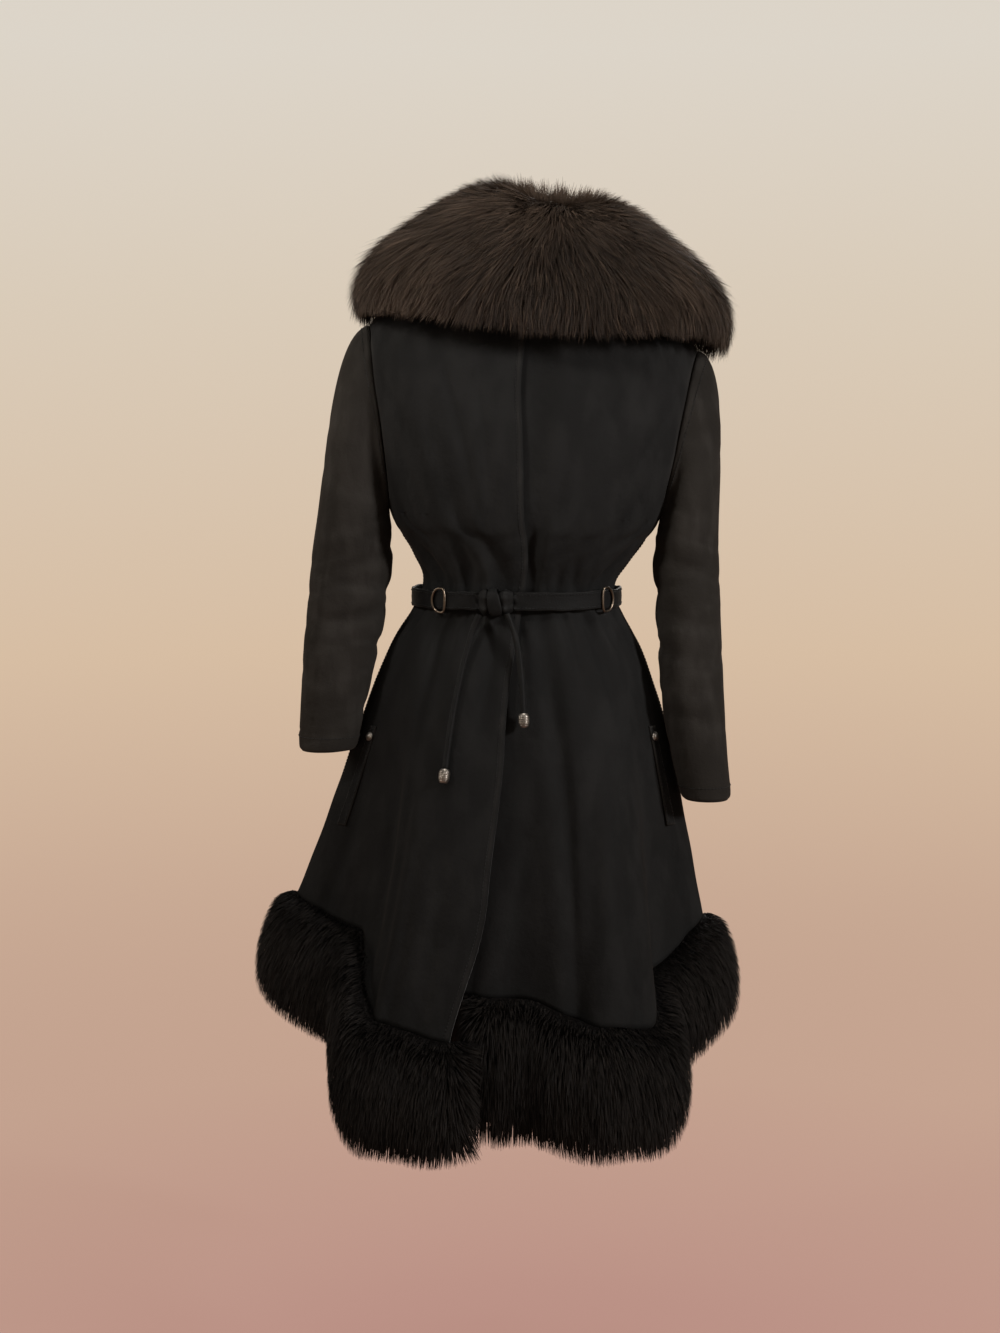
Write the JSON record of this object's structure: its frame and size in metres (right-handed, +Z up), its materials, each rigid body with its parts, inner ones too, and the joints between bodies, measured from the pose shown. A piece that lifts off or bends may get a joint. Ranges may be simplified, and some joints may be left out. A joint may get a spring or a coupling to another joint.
{
  "type": "belted shearling coat",
  "caption": "Long belted shearling coat as worn, with a deep fur collar over the shoulders and a fur roll round its flared hem.",
  "frame": {"origin": "middle of the neck at the height where the coat sits on the wearer's shoulders; the coat is held up there", "axes": "+Z up, -Y out of the coat's front, +X towards the wearer's left"},
  "size_m": [0.6321, 0.5491, 1.24],
  "materials": {
    "suede": "black suede outside, clipped wool inside",
    "long_fur": "long-haired black-brown sheepskin",
    "strap": "smooth black leather",
    "nickel": "worn nickel"
  },
  "bodies": {
    "root": {"front_right": "suede", "front_left": "suede", "back_left": "suede", "back_right": "suede", "sleeve_right": "suede", "sleeve_left": "suede", "fur_front_right": "long_fur", "fur_front_left": "long_fur", "fur_back_left": "long_fur", "fur_back_right": "long_fur", "collar": "long_fur", "belt": "strap", "belt_knot": "strap", "tail_right": "strap", "bead_right": "nickel", "tail_left": "strap", "bead_left": "nickel", "ring_right": "nickel", "ring_left": "nickel", "pocket_welt_right": "suede", "pocket_stud_right": "nickel", "pocket_welt_left": "suede", "pocket_stud_left": "nickel"}
  },
  "joints": []
}
